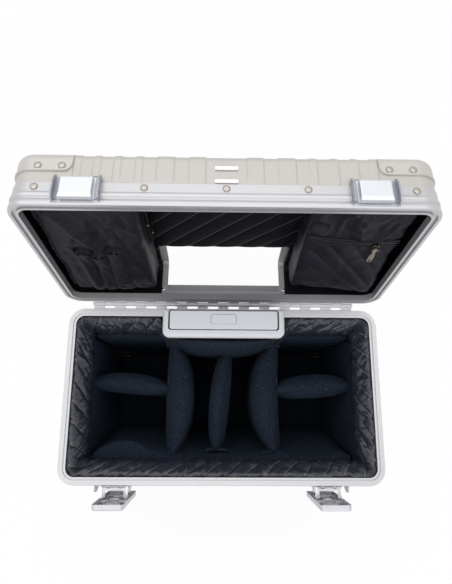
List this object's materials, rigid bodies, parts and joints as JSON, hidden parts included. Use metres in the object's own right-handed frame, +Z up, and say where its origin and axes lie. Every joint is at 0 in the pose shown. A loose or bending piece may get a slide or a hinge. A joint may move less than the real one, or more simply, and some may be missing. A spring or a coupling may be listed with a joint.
{
  "type": "rolling equipment case",
  "caption": "Upright ribbed aluminium rolling case, lid open, with draw latches, a telescoping trolley tower and a padded insert with dividers.",
  "frame": {"origin": "middle of the footprint on the floor, with the lid and the latches open", "axes": "+Z up, +Y from the latches to the hinge, +X along the hinge to the right"},
  "size_m": [0.46, 0.4028, 0.5782],
  "materials": {
    "skin": "anodised champagne-silver sheet",
    "frame": "anodised silver extrusion",
    "hinge": "satin plated steel",
    "latch": "satin die-cast metal",
    "lock": "plated steel",
    "housing": "moulded black plastic",
    "wheel": "black rolling wheel",
    "zip": "gunmetal",
    "lining": "near-black quilted satin",
    "felt": "dark navy brushed loop fabric over foam",
    "satin": "charcoal satin roll",
    "trolley": "cool light grey satin",
    "tube": "anodised tube",
    "rubber": "black rubber",
    "bracket": "grey coated angle",
    "grip": "black moulded grip"
  },
  "bodies": {
    "case_body": {"base_bottom_tray": "skin", "base_corner_guards": "frame", "base_feet": "rubber", "base_rim_frame": "frame", "base_shell_walls": "skin", "divider_left_cross": "felt", "divider_left_long": "felt", "divider_middle": "felt", "divider_right_cross": "felt", "divider_right_long": "felt", "hinge_base_leaf": "hinge", "hinge_pin": "hinge", "latch_bracket_left": "latch", "latch_bracket_right": "latch", "pad_back": "felt", "pad_floor": "felt", "pad_front": "felt", "pad_side_left": "felt", "pad_side_right": "felt", "pad_tower": "felt", "rim_roll": "satin", "trolley_bezel": "trolley", "trolley_outer_tubes": "tube", "trolley_tower": "trolley", "wheel_axles": "hinge", "wheel_housing_left": "housing", "wheel_housing_right": "housing"},
    "lid": {"handle_brackets": "grip", "hinge_lid_leaf": "hinge", "latch_keeper_left": "latch", "latch_keeper_right": "latch", "lid_corner_guards": "frame", "lid_lining": "lining", "lid_pocket_left": "lining", "lid_pocket_right": "lining", "lid_rim_frame": "frame", "lid_shell": "skin", "lid_trim_bars": "frame", "lid_window_frame": "bracket", "zip_slider_left": "zip", "zip_slider_right": "zip"},
    "trolley_middle": {"trolley_middle_tubes": "tube"},
    "trolley_handle": {"trolley_inner_tubes": "tube", "trolley_grip": "trolley"},
    "trolley_button": {"trolley_button": "trolley"},
    "carry_handle": {"carry_handle": "grip"},
    "wheel_left": {"wheel_left": "wheel"},
    "latch_link_left": {"latch_link_left": "latch"},
    "latch_lever_left": {"latch_lever_left": "latch"},
    "latch_catch_left": {"latch_catch_left": "lock"},
    "latch_lock_left": {"latch_lock_left": "lock"},
    "zip_pull_left": {"zip_pull_left": "zip"},
    "wheel_right": {"wheel_right": "wheel"},
    "latch_link_right": {"latch_link_right": "latch"},
    "latch_lever_right": {"latch_lever_right": "latch"},
    "latch_catch_right": {"latch_catch_right": "lock"},
    "latch_lock_right": {"latch_lock_right": "lock"},
    "zip_pull_right": {"zip_pull_right": "zip"}
  },
  "joints": [
    {"name": "lid_hinge", "type": "hinge", "parent": "case_body", "child": "lid", "pos_m": [0, 0.08371, 0.32], "axis": [1, 0, 0], "range_deg": [0, 101.2]},
    {"name": "trolley_middle_slide", "type": "slide", "parent": "case_body", "child": "trolley_middle", "axis": [0, 0, 1], "range_m": [0, 0.26]},
    {"name": "trolley_handle_slide", "type": "slide", "parent": "trolley_middle", "child": "trolley_handle", "axis": [0, 0, 1], "range_m": [0, 0.26]},
    {"name": "trolley_button_press", "type": "slide", "parent": "trolley_handle", "child": "trolley_button", "axis": [0, 0, -1], "range_m": [0, 0.0025], "stiffness_N_per_m": 400, "springref_m": -0.002},
    {"name": "carry_handle_swing", "type": "hinge", "parent": "lid", "child": "carry_handle", "pos_m": [0, 0.18702, 0.44124], "axis": [1, 0, 0], "range_deg": [-11.2, 78.8]},
    {"name": "wheel_left_spin", "type": "hinge", "parent": "case_body", "child": "wheel_left", "pos_m": [-0.19, 0.06471, 0.022], "axis": [1, 0, 0], "continuous": true},
    {"name": "latch_link_left_swing", "type": "hinge", "parent": "case_body", "child": "latch_link_left", "pos_m": [-0.154, -0.17829, 0.292], "axis": [-1, 0, 0], "range_deg": [0, 90]},
    {"name": "latch_lever_left_turn", "type": "hinge", "parent": "latch_link_left", "child": "latch_lever_left", "pos_m": [-0.154, -0.19829, 0.292], "axis": [-1, 0, 0], "range_deg": [-90, 0]},
    {"name": "latch_catch_left_slide", "type": "slide", "parent": "latch_lever_left", "child": "latch_catch_left", "axis": [0, 0, -1], "range_m": [0, 0.0025], "stiffness_N_per_m": 200, "springref_m": -0.002},
    {"name": "latch_lock_left_key", "type": "hinge", "parent": "latch_lever_left", "child": "latch_lock_left", "pos_m": [-0.154, -0.20229, 0.244], "axis": [0, 1, 0], "range_deg": [0, 90]},
    {"name": "zip_pull_left_flip", "type": "hinge", "parent": "lid", "child": "zip_pull_left", "pos_m": [-0.0918, 0.15522, 0.45977], "axis": [0, -0.981, 0.1942], "range_deg": [0, 170]},
    {"name": "wheel_right_spin", "type": "hinge", "parent": "case_body", "child": "wheel_right", "pos_m": [0.19, 0.06471, 0.022], "axis": [1, 0, 0], "continuous": true},
    {"name": "latch_link_right_swing", "type": "hinge", "parent": "case_body", "child": "latch_link_right", "pos_m": [0.154, -0.17829, 0.292], "axis": [-1, 0, 0], "range_deg": [0, 90]},
    {"name": "latch_lever_right_turn", "type": "hinge", "parent": "latch_link_right", "child": "latch_lever_right", "pos_m": [0.154, -0.19829, 0.292], "axis": [-1, 0, 0], "range_deg": [-90, 0]},
    {"name": "latch_catch_right_slide", "type": "slide", "parent": "latch_lever_right", "child": "latch_catch_right", "axis": [0, 0, -1], "range_m": [0, 0.0025], "stiffness_N_per_m": 200, "springref_m": -0.002},
    {"name": "latch_lock_right_key", "type": "hinge", "parent": "latch_lever_right", "child": "latch_lock_right", "pos_m": [0.154, -0.20229, 0.244], "axis": [0, 1, 0], "range_deg": [0, 90]},
    {"name": "zip_pull_right_flip", "type": "hinge", "parent": "lid", "child": "zip_pull_right", "pos_m": [0.184, 0.12264, 0.47132], "axis": [-1, 0, 0], "range_deg": [0, 170]}
  ],
  "couplings": [
    {"joint": "latch_lever_left_turn", "follows": "latch_link_left_swing", "ratio": -1},
    {"joint": "latch_lever_right_turn", "follows": "latch_link_right_swing", "ratio": -1}
  ]
}
